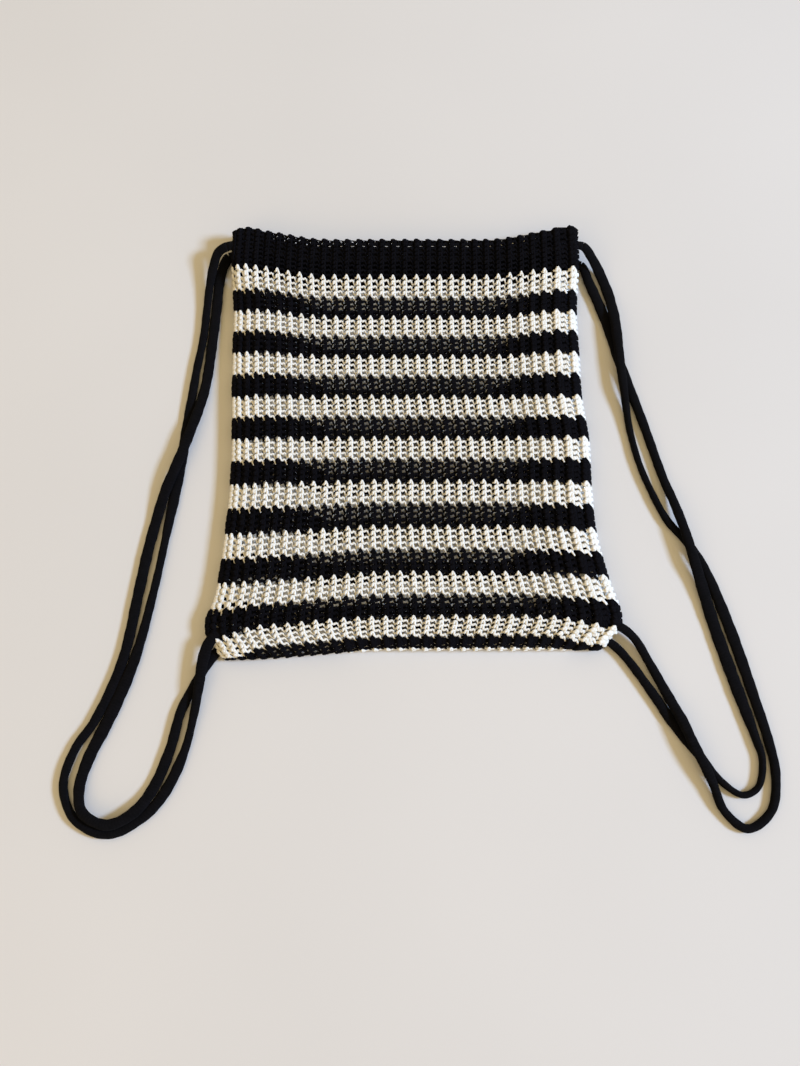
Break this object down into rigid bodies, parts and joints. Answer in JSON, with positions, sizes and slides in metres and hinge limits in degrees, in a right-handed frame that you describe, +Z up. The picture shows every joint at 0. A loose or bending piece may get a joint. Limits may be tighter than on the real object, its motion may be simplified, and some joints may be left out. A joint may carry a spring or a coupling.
{
  "type": "string backpack of striped rib knit",
  "caption": "Flat string backpack of open rib knit in black and ivory stripes, with a folded hem at the mouth and soft black drawcords that form its shoulder straps.",
  "frame": {"origin": "under the middle of the bag without its cords, on the surface that it lies on", "axes": "+X to the right of someone who looks down on the front with the mouth away from them, +Y towards the mouth, +Z up"},
  "size_m": [0.6014, 0.5535, 0.0215],
  "materials": {
    "striped_knit": "matt cotton yarn, ivory and black, knitted in a loose rib",
    "black_cord": "matt black cotton cord, soft and a little flattened"
  },
  "bodies": {
    "root": {"bag": "striped_knit", "cord_left_front": "black_cord", "cord_left_back": "black_cord", "cord_right_front": "black_cord", "cord_right_back": "black_cord"}
  },
  "joints": []
}
